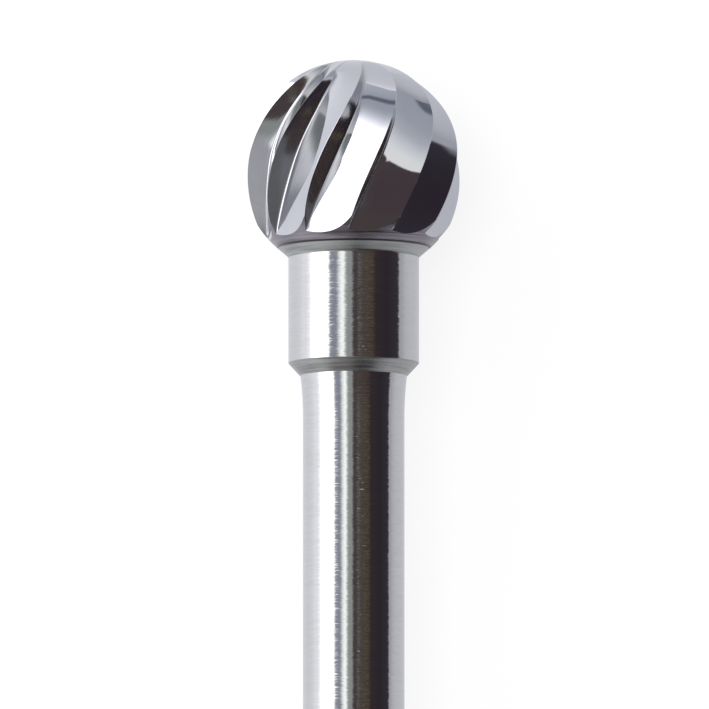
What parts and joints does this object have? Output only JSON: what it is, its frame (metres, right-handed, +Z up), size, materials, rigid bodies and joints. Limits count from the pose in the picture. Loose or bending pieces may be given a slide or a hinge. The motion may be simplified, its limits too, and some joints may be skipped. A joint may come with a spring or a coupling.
{
  "type": "carbide burr",
  "caption": "Ball-nosed carbide burr: a fluted carbide ball brazed to a collared steel shank that fits a handpiece chuck.",
  "frame": {"origin": "middle of the bounding box's underside, on the table that the burr lies on", "axes": "+Z up; +Y along the burr, from the end of the shank to the ball, level on the table"},
  "size_m": [0.0048, 0.0446, 0.0049],
  "materials": {
    "ground_carbide": "mirror-ground tungsten carbide on the teeth, finely turned on the heel",
    "ground_steel": "centreless-ground stainless steel, bright, with fine rings round the collar and shank"
  },
  "bodies": {
    "root": {"carbide_head": "ground_carbide", "steel_shank": "ground_steel"}
  },
  "joints": []
}
